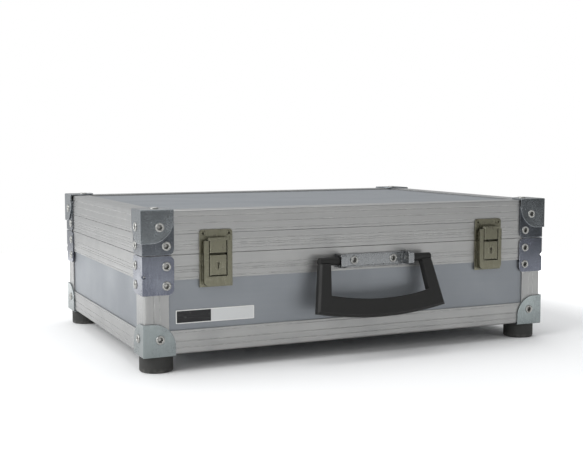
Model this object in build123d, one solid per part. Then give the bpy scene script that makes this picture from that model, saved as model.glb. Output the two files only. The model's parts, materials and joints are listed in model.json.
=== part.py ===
"""Flat aluminium carrying case: framed base and hinged lid, two key locks, a drop handle and rubber feet.

Millimetres, +Z up, +X to the right, the front faces -Y.  The pieces are drawn about the middle of
the shell, at floor level, and write() moves them so that the origin is the middle of the whole
footprint, hanging handle and hinges included.
"""
from build123d import *
import os
from math import cos, radians, sin

# ---- driving dimensions -------------------------------------------------------------------
WIDTH = 450.0            # outer faces of the left and right profiles
DEPTH = 315.0            # outer faces of the front and back profiles
SHELL_HEIGHT = 135.0     # underside of the bottom profiles to the top of the lid profiles
FOOT_RISE = 17.0         # floor to the underside of the bottom profiles

METAL = 1.5              # wall of every extrusion, brace and pressed corner
PANEL = 6.0              # aluminium-faced wall, bottom and top panels
SEAM = 93.5              # top of the base, above the underside of the shell
SEAM_GAP = 0.5           # between the base and the closed lid

# ---- extrusions ---------------------------------------------------------------------------
BOTTOM_FLANGE = 22.5     # both flanges of the bottom edge angle
RIM_LOW = 70.0           # lower edge of the base closure profile
LID_JOINT = 113.0        # line between the lid's closure profile and its edge angle
LINE_GAP = 0.4           # open line between two profiles
TOP_FLANGE = 20.0        # horizontal flange of the lid's edge angle
POST_FLANGE = 24.0       # flanges of the upright corner angle
EDGE_ROUND = 2.0         # outer edge of the angles
POST_ROUND = 3.0         # outer edge of the corner posts
CHANNEL = 2 * METAL + PANEL
WEB = 5.5                # solid head of the base closure profile
LID_WEB = 3.5            # solid foot of the lid closure profile
INNER_FLANGE = 10.0      # inner leg of both closure profiles
GROOVE_DEPTH = 0.3       # decorative grooves along the profiles
GROOVE_WIDTH = 0.7
BOTTOM_GROOVES = (6.0, 12.0, 20.4)
RIM_GROOVES = (72.2, 77.4, 79.4, 82.8)
LID_GROOVES = (98.3, 101.4, 103.2, 106.5)
EDGE_GROOVES = (116.0, 123.0, 129.4)
POST_GROOVES = (15.0, 9.5)   # in from the corner
TONGUE_INSET = 3.5       # outer face of the tongue, in from the profile's face
TONGUE_WIDTH = 2.5
TONGUE_DROP = 3.0        # below the top of the base when closed
TONGUE_CLEAR = 0.9       # each side of the tongue and under it

# ---- corner hardware ----------------------------------------------------------------------
CORNER_LEG = 31.5        # legs of the pressed three-sided corners
CORNER_ROUND = 22.0      # big radius of each leg
BEND_ROUND = 1.0         # outer edges of the corners and braces
BRACE_LEG = 30.5         # legs of the L-shaped braces
BRACE_ROUND = 5.5
BASE_BRACE_LOW = 56.7
BASE_BRACE_HIGH = 93.2
LID_BRACE_HIGH = 131.0
NOTCH_HEIGHT = 74.5      # V cut in the edge of the base brace
NOTCH_DEPTH = 3.0        # inward along the diagonal
NOTCH_HALF = 2.6         # half height at the edge
CORNER_RIVET_INSET = 15.0
BRACE_RIVET_INSET = 21.7
BASE_BRACE_RIVETS = (65.2, 83.3)
LID_BRACE_RIVET = 102.3

FRAME_RIVET = (8.8, 4.4, 5.6, 8.0)   # head, bore, shank and tail diameters
LOCK_RIVET = (4.6, 1.8, 3.0, 4.6)
BORE_DEPTH = 2.5         # under the face that the head sits on
TAIL_THICK = 1.0

# ---- feet ---------------------------------------------------------------------------------
FOOT_DIAMETER = 32.0
FOOT_INSET = 16.0
FOOT_ROUND = 2.0
SCREW_SHANK = 4.0
SCREW_HEAD = 8.0
SCREW_HEAD_THICK = 3.0
SCREW_HEAD_ROUND = 1.2
CROSS_LENGTH = 4.8       # cross recess in the screw head
CROSS_WIDTH = 1.0
SCREW_RECESS = 11.0
SCREW_SEAT = 8.0         # rubber above the screw head

# ---- handle -------------------------------------------------------------------------------
HANDLE_X = 13.0          # the handle hangs a little right of the middle
HANDLE_TILT = 16.0       # hanging position, held off the wall by stops in the loops
PIVOT_OUT = 9.0          # pivot in front of the profile's face
PIVOT_LEVEL = 80.7
BRACKET_LEVEL = 79.8
BRACKET_HEIGHT = 13.4
LOOP_INNER = 35.3        # loops and bosses, measured from the middle of the handle
LOOP_OUTER = 41.4
LOOP_ROUND = 3.0
LOOP_TRIM = 0.4          # the loop's front, short of half its height from the pivot
LIP_WIDTH = 1.4          # raised lips along the bracket's plate
LIP_PROUD = 0.9
LIP_ROUND = 0.6
BOSS_INNER = 41.9
BOSS_DIAMETER = 8.0
BOSS_ROUND = 1.5
PIN_DIAMETER = 4.0
PIN_FIT = 0.05
PIN_REACH = 9.0          # pin length inside the boss
GRIP_TOP_HALF = 64.0
GRIP_BOTTOM_HALF = 72.5
GRIP_TOP_DROP = 3.0      # top of the arms, under the middle of the bosses
GRIP_CORNER_DROP = 50.5
GRIP_MIDDLE_DROP = 58.0
FINGER_TOP_HALF = 52.0
FINGER_BOTTOM_HALF = 55.5
FINGER_CORNER_DROP = 34.0
FINGER_MIDDLE_DROP = 40.0
GRIP_THICK = 9.0
GRIP_ROUND = 1.2
GRIP_BEVEL = 2.2         # outer front edge
BRACKET_RIVET_HALF = 22.5
BRACKET_RIVET_SHIFT = 2.4

# ---- locks --------------------------------------------------------------------------------
LOCK_X = 154.5
LOCK_HALF = 16.5         # half width of the back plates
LOCK_LOW = 62.0
LOCK_HIGH = 116.3
LOCK_PLATE = 1.2
PLATE_LIP = 1.0          # back plate showing below the raised frame
FRAME_HALF = 13.9        # half width of the raised frame
FRAME_OUT = 7.0          # front of the raised frame, from the profile's face
FRAME_HIGH = 106.0
FRAME_SHEET = 1.4
FRAME_BAND = 72.4        # top of the band that closes the frame below
FRAME_ROUND = 5.0
FRAME_EDGE = 0.7
FRAME_FLAT = 1.0         # front of the arms left square above the slope on their ends
HOLLOW_DROP = 4.0        # hollow of the frame below its window
ARM_CLEAR = 0.8          # between the frame's free arms and the strike plate
ARM_RELIEF = 0.5         # start of that clearance below the seam
WINDOW_HALF = 9.3
FLAP_HALF = 8.4          # hasp and lever
FLAP_THICK = 2.0
FLAP_OUT = 7.4
FLAP_GAP = 1.8           # between the hasp and the lever
FLAP_BEVEL = 0.5
HASP_TOP = 109.0
HASP_BARREL = 3.4
HASP_PIN = 1.6
HASP_SHOULDER = 0.6      # top of the hasp's face below the top of its barrel
NOSE_IN = 4.4            # back of the hasp's nose, in from the lock's front
NOSE_HEIGHT = 1.4
EAR_GAP = 0.2            # between the hasp and each ear of the strike plate
EAR_THICK = 1.3
EAR_CLEAR = 0.4          # between the ears and the frame's arms
STRIKE_ROUND = 3.0
LEVER_LOW = 73.4
LEVER_PIVOT = 81.5
LEVER_PIVOT_OUT = 3.2
LEVER_PIN = 2.4
PIN_PROUD = 0.6          # ends of the cross pin outside the cheeks
LUG_HALF = 5.0
LUG_DIAMETER = 3.8
KEY_LEVEL = 82.8
KEY_PLUG = 8.0
KEY_PLUG_FIT = 0.08
KEY_PLUG_LONG = 2.6
KEY_PLUG_SINK = 0.05
CYLINDER_WALL = 1.2
KEYHOLE = 3.0
KEYHOLE_RISE = 1.8       # middle of the round hole above the middle of the plug
KEYWAY_WIDTH = 1.5
KEYWAY_DROP = 3.3
KEYWAY_DEPTH = 1.8
LOCK_RIVET_LEVEL = 112.6
LOCK_RIVET_HALF = 13.0
HOUSING_RIVET_LEVEL = 74.0
HOUSING_RIVET_HALF = 6.0

# ---- hinges -------------------------------------------------------------------------------
HINGE_X = 140.0
HINGE_LENGTH = 60.0
HINGE_OUT = 4.5          # pin centre behind the profile's face
HINGE_LEAF = 16.0
HINGE_KNUCKLE = 7.0
HINGE_PIN = 3.0
HINGE_KNUCKLES = 5
KNUCKLE_GAP = 0.3
HINGE_RIVET_LEVEL = 9.5
HINGE_RIVET_HALF = 20.0

# ---- label --------------------------------------------------------------------------------
LABEL_X = -154.5
LABEL_LEVEL = 34.9
LABEL_WIDTH = 79.0
LABEL_HEIGHT = 12.8
LABEL_THICK = 0.6
LABEL_ROUND = 0.8

# ---- lever springs ------------------------------------------------------------------------
SPRING_DIAMETER = 3.8
SPRING_WIRE = 0.6
SPRING_TURNS = 7
SPRING_GROOVE = 0.35     # depth of the grooves between the turns, as a share of the wire
SPRING_GAP = 0.2         # between the spring and the lever's lug

BIG = 1000.0
TOUCH = 0.01             # distances under this count as none
RIGHT_ANGLE = 90.0
TILT = radians(HANDLE_TILT)
FRONT_REACH = PIVOT_OUT + GRIP_MIDDLE_DROP * sin(TILT) + GRIP_THICK / 2 * cos(TILT)
BACK_REACH = HINGE_OUT + HINGE_KNUCKLE / 2
ORIGIN_SHIFT = (FRONT_REACH - BACK_REACH) / 2
SIDES = {
    "front": (DEPTH / 2, WIDTH, 0.0),
    "back": (DEPTH / 2, WIDTH, 180.0),
    "left": (WIDTH / 2, DEPTH, -RIGHT_ANGLE),
    "right": (WIDTH / 2, DEPTH, RIGHT_ANGLE),
}
CORNERS = {
    "front_left": (-1, -1),
    "front_right": (1, -1),
    "back_left": (-1, 1),
    "back_right": (1, 1),
}


def level(height):
    """Height above the floor of a height measured from the underside of the shell."""
    return FOOT_RISE + height


def block(x_range, y_range, z_range):
    """Axis-aligned box from its three ranges."""
    sizes = [high - low for low, high in (x_range, y_range, z_range)]
    corner = (x_range[0], y_range[0], z_range[0])
    return Pos(*corner) * Box(*sizes, align=(Align.MIN, Align.MIN, Align.MIN))


def rod(diameter, start, end):
    """Round bar between two points on a line along X, Y or Z."""
    axis = Vector(*end) - Vector(*start)
    plane = Plane(origin=start, z_dir=axis)
    return extrude(plane * Circle(diameter / 2), amount=axis.length)


def mirrored(x_sign, y_sign, part):
    """The part made for the front left corner, placed at another corner."""
    if x_sign > 0:
        part = mirror(part, about=Plane.YZ)
    if y_sign > 0:
        part = mirror(part, about=Plane.XZ)
    return part


def write(name, *solids):
    """Write one node; a node with several solids is a group of identical pieces."""
    placed = [Pos(0, ORIGIN_SHIFT, 0) * solid for solid in solids]
    shape = placed[0] if len(placed) == 1 else Compound(children=placed)
    export_step(shape, f"parts/{name}.step")


# ---- rivets -------------------------------------------------------------------------------
def rivet(point, outward, grip, kind=FRAME_RIVET):
    """Tubular rivet: rolled ring of a head on the face at point, hollow shank through grip, rolled tail."""
    head, bore, stem, tail = (diameter / 2 for diameter in kind)
    end = -grip - TAIL_THICK
    crest = ((head + bore) / 2, (head - bore) / 2)
    outline = Polyline((0, end), (tail, end), (tail, -grip), (stem, -grip), (stem, 0), (head, 0))
    outline += ThreePointArc((head, 0), crest, (bore, 0))
    outline += Polyline((bore, 0), (bore, -BORE_DEPTH), (0, -BORE_DEPTH), (0, end))
    body = revolve(Plane.XZ * make_face(outline), axis=Axis.Z)
    return Plane(origin=point, z_dir=outward).location * body


def shank(point, outward, grip, kind=FRAME_RIVET):
    """The hole that a rivet's shank passes through, started at the head."""
    plane = Plane(origin=point, z_dir=outward)
    return extrude(plane * Circle(kind[2] / 2), amount=-(grip + TAIL_THICK))


def corner_rivets(x_sign, y_sign):
    """Rivets of one corner: a list of (point, outward, grip) for the base and one for the lid."""
    x_face = x_sign * WIDTH / 2
    y_face = y_sign * DEPTH / 2
    one_layer = METAL
    two_layers = 2 * METAL
    base = []
    lid = []

    def both_faces(rivets, inset, height, layers, inner):
        rivets.append(((x_face - x_sign * inset, y_face + y_sign * layers, level(height)),
                       (0, y_sign, 0), layers + inner))
        rivets.append(((x_face + x_sign * layers, y_face - y_sign * inset, level(height)),
                       (x_sign, 0, 0), layers + inner))

    both_faces(base, CORNER_RIVET_INSET, CORNER_RIVET_INSET, one_layer, METAL + PANEL)
    both_faces(base, BRACE_RIVET_INSET, BASE_BRACE_RIVETS[0], one_layer, METAL + PANEL)
    both_faces(base, BRACE_RIVET_INSET, BASE_BRACE_RIVETS[1], one_layer, CHANNEL)
    both_faces(lid, BRACE_RIVET_INSET, LID_BRACE_RIVET, one_layer, CHANNEL)
    both_faces(lid, CORNER_RIVET_INSET, SHELL_HEIGHT - CORNER_RIVET_INSET, two_layers, METAL + PANEL)
    top = (x_face - x_sign * CORNER_RIVET_INSET, y_face - y_sign * CORNER_RIVET_INSET,
           level(SHELL_HEIGHT + METAL))
    lid.append((top, (0, 0, 1), two_layers + PANEL))
    return base, lid


# ---- profiles and panels ------------------------------------------------------------------
def bar(outline, side, rounded=None, radius=EDGE_ROUND):
    """Extrusion along one side, mitred at both ends; outline is (inward, height) points."""
    half, length, turn = SIDES[side]
    points = [(inward - half, level(height)) for inward, height in outline]
    section = make_face(Polyline(*points, close=True))
    if rounded is not None:
        target = Vector(rounded[0] - half, level(rounded[1]), 0)
        corner = min(section.vertices(), key=lambda v: (Vector(*v) - target).length)
        section = fillet(corner, radius)
    solid = extrude(Plane.YZ * section, amount=length / 2, both=True)
    for x_sign in (-1, 1):
        mitre = Plane(origin=(x_sign * length / 2, -half, 0), z_dir=(x_sign, 1, 0))
        solid = split(solid, bisect_by=mitre, keep=Keep.BOTTOM)
    return Rot(0, 0, turn) * solid


def outer_face(low, high, grooves):
    """Points down the outer face of a profile from high to low, with its grooves."""
    points = [(0, high)]
    for groove in sorted(grooves, reverse=True):
        top = groove + GROOVE_WIDTH / 2
        bottom = groove - GROOVE_WIDTH / 2
        points += [(0, top), (GROOVE_DEPTH, top), (GROOVE_DEPTH, bottom), (0, bottom)]
    points.append((0, low))
    return points


def bottom_profile(side):
    """Edge angle under the walls and the bottom panel."""
    outline = outer_face(0, BOTTOM_FLANGE, BOTTOM_GROOVES)
    outline += [(BOTTOM_FLANGE, 0), (BOTTOM_FLANGE, METAL), (METAL, METAL), (METAL, BOTTOM_FLANGE)]
    return bar(outline, side, rounded=(0, 0))


def rim_profile(side):
    """Closure profile round the mouth of the base, with the groove for the lid's tongue."""
    seat = SEAM - WEB
    groove_out = TONGUE_INSET - TONGUE_CLEAR
    groove_in = TONGUE_INSET + TONGUE_WIDTH + TONGUE_CLEAR
    groove_floor = SEAM - TONGUE_DROP - TONGUE_CLEAR
    outline = outer_face(RIM_LOW, SEAM, RIM_GROOVES)
    outline += [(METAL, RIM_LOW), (METAL, seat), (METAL + PANEL, seat), (METAL + PANEL, seat - INNER_FLANGE)]
    outline += [(CHANNEL, seat - INNER_FLANGE), (CHANNEL, SEAM)]
    outline += [(groove_in, SEAM), (groove_in, groove_floor)]
    outline += [(groove_out, groove_floor), (groove_out, SEAM)]
    return bar(outline, side)


def lid_closure_profile(side):
    """Closure profile round the mouth of the lid, with the tongue."""
    low = SEAM + SEAM_GAP
    seat = low + LID_WEB
    high = LID_JOINT - LINE_GAP / 2
    tip = SEAM - TONGUE_DROP
    outline = outer_face(low, high, LID_GROOVES)
    outline += [(TONGUE_INSET, low), (TONGUE_INSET, tip), (TONGUE_INSET + TONGUE_WIDTH, tip)]
    outline += [(TONGUE_INSET + TONGUE_WIDTH, low), (CHANNEL, low), (CHANNEL, seat + INNER_FLANGE)]
    outline += [(METAL + PANEL, seat + INNER_FLANGE), (METAL + PANEL, seat), (METAL, seat), (METAL, high)]
    return bar(outline, side)


def lid_edge_profile(side):
    """Edge angle round the top of the lid, over the walls and the top panel."""
    low = LID_JOINT + LINE_GAP / 2
    under = SHELL_HEIGHT - METAL
    outline = outer_face(low, SHELL_HEIGHT, EDGE_GROOVES)
    outline += [(METAL, low), (METAL, under), (TOP_FLANGE, under), (TOP_FLANGE, SHELL_HEIGHT)]
    return bar(outline, side, rounded=(0, SHELL_HEIGHT))


def wall_panel(side, low, high):
    """Flat wall panel; the front and back run the full width and the sides fit between them."""
    half, length, turn = SIDES[side]
    end = METAL if side in ("front", "back") else METAL + PANEL
    x_half = length / 2 - end
    panel = block((-x_half, x_half), (METAL - half, METAL + PANEL - half), (level(low), level(high)))
    return Rot(0, 0, turn) * panel


def flat_panel(low, high):
    """Bottom or top panel, between the walls."""
    x_half = WIDTH / 2 - METAL - PANEL
    y_half = DEPTH / 2 - METAL - PANEL
    return block((-x_half, x_half), (-y_half, y_half), (level(low), level(high)))


def corner_post(x_sign, y_sign):
    """Upright angle over the corner of the base walls."""
    along_x = [(POST_FLANGE, METAL), (POST_FLANGE, 0)]
    for groove in POST_GROOVES:
        far = groove + GROOVE_WIDTH / 2
        near = groove - GROOVE_WIDTH / 2
        along_x += [(far, 0), (far, GROOVE_DEPTH), (near, GROOVE_DEPTH), (near, 0)]
    along_x.append((0, 0))
    along_y = [(v, u) for u, v in reversed(along_x[:-1])]
    outline = along_x + along_y + [(METAL, METAL)]
    section = make_face(Polyline(*[(u - WIDTH / 2, v - DEPTH / 2) for u, v in outline], close=True))
    target = Vector(-WIDTH / 2, -DEPTH / 2, 0)
    outer = min(section.vertices(), key=lambda v: (Vector(*v) - target).length)
    section = fillet(outer, POST_ROUND)
    post = extrude(Pos(0, 0, level(BOTTOM_FLANGE)) * section, amount=RIM_LOW - BOTTOM_FLANGE)
    return mirrored(x_sign, y_sign, post)


# ---- corners and braces -------------------------------------------------------------------
def bent_plate(blank, layers, foot):
    """A flat blank used for both upright legs of the front left corner, over that many layers of metal."""
    x = -WIDTH / 2 - layers * METAL
    y = -DEPTH / 2 - layers * METAL
    front = Plane(origin=(x, y + METAL, foot), x_dir=(1, 0, 0), z_dir=(0, -1, 0))
    side = Plane(origin=(x, y, foot), x_dir=(0, 1, 0), z_dir=(1, 0, 0))
    return extrude(front * blank, amount=METAL) + extrude(side * blank, amount=METAL)


def softened(piece, layers, foot):
    """The piece with every edge that leaves its outer corner line or point rounded."""
    x = -WIDTH / 2 - layers * METAL
    y = -DEPTH / 2 - layers * METAL

    def is_bend(edge):
        middle = edge.center()
        at_x = abs(middle.X - x) < TOUCH
        at_y = abs(middle.Y - y) < TOUCH
        at_foot = abs(middle.Z - foot) < TOUCH
        return at_x and at_y or edge.length > CORNER_ROUND / 4 and at_foot and (at_x or at_y)

    return fillet([edge for edge in piece.edges() if is_bend(edge)], BEND_ROUND)


def three_sided_corner(x_sign, y_sign, layers):
    """Pressed corner standing on its flat leg, with its outer point at height 0."""
    square = Pos(CORNER_LEG / 2, CORNER_LEG / 2) * Rectangle(CORNER_LEG, CORNER_LEG)
    far = max(square.vertices(), key=lambda v: v.X + v.Y)
    blank = fillet(far, CORNER_ROUND)
    flat = Pos(-WIDTH / 2 - layers * METAL, -DEPTH / 2 - layers * METAL) * blank
    corner = bent_plate(blank, layers, 0) + extrude(flat, amount=METAL)
    return mirrored(x_sign, y_sign, softened(corner, layers, 0))


def bottom_corner(x_sign, y_sign):
    """Corner under the base, its upright legs running up."""
    return Pos(0, 0, level(-METAL)) * three_sided_corner(x_sign, y_sign, 1)


def top_corner(x_sign, y_sign):
    """Corner over the lid and its brace, its upright legs running down."""
    upside_down = mirror(three_sided_corner(x_sign, y_sign, 2), about=Plane.XY)
    return Pos(0, 0, level(SHELL_HEIGHT + METAL)) * upside_down


def brace(x_sign, y_sign, low, high, notch=None):
    """L-shaped brace wrapped round an upright corner, with rounded far ends."""
    height = high - low
    blank = Pos(BRACE_LEG / 2, height / 2) * Rectangle(BRACE_LEG, height)
    far = [v for v in blank.vertices() if v.X > BRACE_LEG / 2]
    piece = bent_plate(fillet(far, BRACE_ROUND), 1, level(low))
    x = -WIDTH / 2 - METAL
    y = -DEPTH / 2 - METAL
    bend = min(piece.edges().filter_by(Axis.Z), key=lambda e: e.center().X + e.center().Y)
    piece = fillet(bend, BEND_ROUND)
    if notch is not None:
        wedge = make_face(Polyline((-NOTCH_DEPTH, 0), (NOTCH_DEPTH, 2 * NOTCH_HALF),
                                   (NOTCH_DEPTH, -2 * NOTCH_HALF), close=True))
        plane = Plane(origin=(x, y, level(notch)), x_dir=(-1, -1, 0), z_dir=(1, -1, 0))
        piece -= extrude(plane * wedge, amount=2 * NOTCH_DEPTH, both=True)
    return mirrored(x_sign, y_sign, piece)


# ---- feet ---------------------------------------------------------------------------------
def foot_centre(x_sign, y_sign):
    return x_sign * (WIDTH / 2 - FOOT_INSET), y_sign * (DEPTH / 2 - FOOT_INSET)


def foot(x_sign, y_sign):
    """Round rubber foot with a recess for its screw."""
    x, y = foot_centre(x_sign, y_sign)
    top = level(-METAL)
    body = rod(FOOT_DIAMETER, (x, y, 0), (x, y, top))
    body = fillet(body.edges().group_by(Axis.Z)[0], FOOT_ROUND)
    body -= rod(SCREW_RECESS, (x, y, 0), (x, y, top - SCREW_SEAT))
    return body - foot_hole(x_sign, y_sign)


def foot_hole(x_sign, y_sign):
    x, y = foot_centre(x_sign, y_sign)
    return rod(SCREW_SHANK, (x, y, 0), (x, y, level(METAL + PANEL)))


def foot_screw(x_sign, y_sign):
    """Pan-head screw up through the foot, the pressed corner, the profile and the bottom panel."""
    x, y = foot_centre(x_sign, y_sign)
    seat = level(-METAL) - SCREW_SEAT
    head = rod(SCREW_HEAD, (x, y, seat - SCREW_HEAD_THICK), (x, y, seat))
    head = fillet(head.edges().group_by(Axis.Z)[0], SCREW_HEAD_ROUND)
    stem = rod(SCREW_SHANK, (x, y, seat), (x, y, level(METAL + PANEL)))
    recess = Pos(x, y, seat - SCREW_HEAD_THICK)
    along_x = Box(CROSS_LENGTH, CROSS_WIDTH, SCREW_HEAD_THICK)
    along_y = Box(CROSS_WIDTH, CROSS_LENGTH, SCREW_HEAD_THICK)
    return head + stem - recess * (along_x + along_y)


# ---- handle -------------------------------------------------------------------------------
def handle_pivot(offset=0.0):
    return HANDLE_X + offset, -DEPTH / 2 - PIVOT_OUT, level(PIVOT_LEVEL)


def handle_bracket():
    """Pressed bracket: a riveted plate with a loop at each end."""
    face = -DEPTH / 2
    half = BRACKET_HEIGHT / 2
    plate = block((HANDLE_X - LOOP_OUTER, HANDLE_X + LOOP_OUTER), (face - METAL, face),
                  (level(BRACKET_LEVEL - half), level(BRACKET_LEVEL + half)))
    bracket = plate
    for edge in (half, LIP_WIDTH - half):
        lip = block((HANDLE_X - LOOP_INNER, HANDLE_X + LOOP_INNER), (face - METAL - LIP_PROUD, face - METAL),
                    (level(BRACKET_LEVEL + edge - LIP_WIDTH), level(BRACKET_LEVEL + edge)))
        proud = [e for e in lip.edges().filter_by(Axis.X) if e.center().Y < face - METAL - TOUCH]
        bracket += fillet(proud, LIP_ROUND)
    x, y, z = handle_pivot()
    for x_sign in (-1, 1):
        inner = x + x_sign * LOOP_INNER
        outer = x + x_sign * LOOP_OUTER
        loop = block(sorted((inner, outer)), (y - half + LOOP_TRIM, face), (z - half, z + half))
        front = [e for e in loop.edges().filter_by(Axis.X) if e.center().Y < y]
        loop = fillet(front, LOOP_ROUND)
        bracket += loop
    for x_sign in (-1, 1):
        bracket -= rod(PIN_DIAMETER + 2 * PIN_FIT, handle_pivot(x_sign * (LOOP_INNER - METAL)),
                       handle_pivot(x_sign * (LOOP_OUTER + METAL)))
        bracket -= shank(*bracket_rivet(x_sign))
    return bracket


def bracket_rivet(x_sign):
    x = HANDLE_X + BRACKET_RIVET_SHIFT + x_sign * BRACKET_RIVET_HALF
    point = (x, -DEPTH / 2 - METAL, level(BRACKET_LEVEL))
    return point, (0, -1, 0), METAL + CHANNEL


def handle_pin(x_sign):
    """Steel pin pressed into a boss of the grip and turning in a loop of the bracket."""
    far = BOSS_INNER + PIN_REACH
    return rod(PIN_DIAMETER, handle_pivot(x_sign * LOOP_INNER), handle_pivot(x_sign * far))


def handle_grip():
    """Moulded grip: two splayed arms and a bowed bar under round bosses, hanging at its rest angle."""
    top = -GRIP_TOP_DROP
    outline = Polyline((-GRIP_TOP_HALF, top), (-GRIP_BOTTOM_HALF, -GRIP_CORNER_DROP))
    outline += ThreePointArc((-GRIP_BOTTOM_HALF, -GRIP_CORNER_DROP), (0, -GRIP_MIDDLE_DROP),
                             (GRIP_BOTTOM_HALF, -GRIP_CORNER_DROP))
    outline += Polyline((GRIP_BOTTOM_HALF, -GRIP_CORNER_DROP), (GRIP_TOP_HALF, top), (FINGER_TOP_HALF, top),
                        (FINGER_BOTTOM_HALF, -FINGER_CORNER_DROP))
    outline += ThreePointArc((FINGER_BOTTOM_HALF, -FINGER_CORNER_DROP), (0, -FINGER_MIDDLE_DROP),
                             (-FINGER_BOTTOM_HALF, -FINGER_CORNER_DROP))
    outline += Polyline((-FINGER_BOTTOM_HALF, -FINGER_CORNER_DROP), (-FINGER_TOP_HALF, top),
                        (-GRIP_TOP_HALF, top))
    grip = extrude(Plane.XZ * make_face(outline), amount=GRIP_THICK / 2, both=True)
    outer_half = (GRIP_TOP_HALF + FINGER_TOP_HALF) / 2
    outer_drop = (GRIP_MIDDLE_DROP + FINGER_MIDDLE_DROP) / 2

    def long_edges(piece, y_side):
        return [e for e in piece.edges() if abs(e.center().Y - y_side * GRIP_THICK / 2) < TOUCH
                and e.center().Z < top - TOUCH]

    def is_outer(edge):
        return abs(edge.center().X) > outer_half or edge.center().Z < -outer_drop

    grip = chamfer([e for e in long_edges(grip, -1) if is_outer(e)], GRIP_BEVEL)
    inner_front = [e for e in long_edges(grip, -1) if abs(e.center().X) < FINGER_BOTTOM_HALF
                   and e.center().Z > -FINGER_MIDDLE_DROP - TOUCH]
    grip = fillet(long_edges(grip, 1) + inner_front, GRIP_ROUND)
    for x_sign in (-1, 1):
        boss = rod(BOSS_DIAMETER, (x_sign * BOSS_INNER, 0, 0), (x_sign * GRIP_TOP_HALF, 0, 0))
        end = max(boss.edges(), key=lambda e: abs(e.center().X))
        grip += fillet(end, BOSS_ROUND)
    placed = Pos(*handle_pivot()) * (Rot(-HANDLE_TILT, 0, 0) * grip)
    for x_sign in (-1, 1):
        placed -= rod(PIN_DIAMETER, handle_pivot(x_sign * (BOSS_INNER - METAL)),
                      handle_pivot(x_sign * (BOSS_INNER + PIN_REACH)))
    return placed


# ---- locks --------------------------------------------------------------------------------
def out(distance):
    """Y of a plane in front of the front profile's face."""
    return -DEPTH / 2 - distance


def lock_housing(x_sign):
    """Base half of a lock: back plate and raised U-shaped frame, its arms free above the seam."""
    x = x_sign * LOCK_X
    plate = block((x - LOCK_HALF, x + LOCK_HALF), (out(LOCK_PLATE), out(0)), (level(LOCK_LOW), level(SEAM)))
    shell = block((x - FRAME_HALF, x + FRAME_HALF), (out(FRAME_OUT), out(LOCK_PLATE)),
                  (level(LOCK_LOW + PLATE_LIP), level(FRAME_HIGH)))
    low_edges = [e for e in shell.edges().filter_by(Axis.Y) if e.center().Z < level(SEAM)]
    shell = fillet(low_edges, FRAME_ROUND)
    rim = [e for e in shell.faces().sort_by(Axis.Y)[0].edges() if e.center().Z < level(FRAME_HIGH) - TOUCH]
    shell = fillet(rim, FRAME_EDGE)
    hollow = block((x - FRAME_HALF + FRAME_SHEET, x + FRAME_HALF - FRAME_SHEET),
                   (out(FRAME_OUT - FRAME_SHEET), out(LOCK_PLATE)),
                   (level(FRAME_BAND - HOLLOW_DROP), level(FRAME_HIGH)))
    window = block((x - WINDOW_HALF, x + WINDOW_HALF), (out(FRAME_OUT), out(LOCK_PLATE)),
                   (level(FRAME_BAND), level(FRAME_HIGH)))
    behind = block((x - FRAME_HALF, x + FRAME_HALF), (out(LOCK_PLATE + ARM_CLEAR), out(0)),
                   (level(SEAM - ARM_RELIEF), level(FRAME_HIGH)))
    housing = plate + (shell - hollow - window - behind)
    slant = FRAME_OUT - LOCK_PLATE - ARM_CLEAR
    slope = make_face(Polyline((out(0), level(FRAME_HIGH)), (out(0), level(FRAME_HIGH - slant)),
                               (out(FRAME_OUT - FRAME_FLAT), level(FRAME_HIGH)), close=True))
    housing -= extrude(Plane.YZ * slope, amount=BIG, both=True)
    housing -= lever_pin(x_sign)
    for hole in lock_base_rivets(x_sign):
        housing -= shank(*hole, kind=LOCK_RIVET)
    return housing


def across(x_sign, diameter, half, distance, height):
    """Round bar across a lock: half its length, distance out from the face and height above the shell."""
    x = x_sign * LOCK_X
    return rod(diameter, (x - half, out(distance), level(height)), (x + half, out(distance), level(height)))


def lever_pin(x_sign):
    """Cross pin of a lock, its ends just proud of the frame's cheeks."""
    return across(x_sign, LEVER_PIN, FRAME_HALF + PIN_PROUD, LEVER_PIVOT_OUT, LEVER_PIVOT)


def lever_spring(x_sign):
    """Return spring wound round the cross pin beside the lever's lug, its turns closed up."""
    start = (x_sign * LOCK_X + LUG_HALF + SPRING_GAP, out(LEVER_PIVOT_OUT), level(LEVER_PIVOT))
    root = SPRING_DIAMETER / 2 - SPRING_WIRE * SPRING_GROOVE
    bore = LEVER_PIN / 2 + PIN_FIT
    points = [(bore, 0)]
    for turn in range(SPRING_TURNS):
        along = turn * SPRING_WIRE
        points += [(root, along), (SPRING_DIAMETER / 2, along + SPRING_WIRE / 2)]
    points += [(root, SPRING_TURNS * SPRING_WIRE), (bore, SPRING_TURNS * SPRING_WIRE)]
    coil = revolve(Plane.XZ * make_face(Polyline(*points, close=True)), axis=Axis.Z)
    return Plane(origin=start, z_dir=(1, 0, 0)).location * coil


def lock_base_rivets(x_sign):
    """Two rivets inside the frame that hold the housing to the rim profile."""
    x = x_sign * LOCK_X
    return [((x + side * HOUSING_RIVET_HALF, out(LOCK_PLATE), level(HOUSING_RIVET_LEVEL)), (0, -1, 0),
             LOCK_PLATE + METAL + PANEL) for side in (-1, 1)]


def flap_face(x_sign, low, high):
    """Flat front of the hasp or the lever, bevelled all round."""
    x = x_sign * LOCK_X
    face = block((x - FLAP_HALF, x + FLAP_HALF), (out(FLAP_OUT), out(FLAP_OUT - FLAP_THICK)),
                 (level(low), level(high)))
    return chamfer(face.faces().sort_by(Axis.Y)[0].edges(), FLAP_BEVEL)


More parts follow.
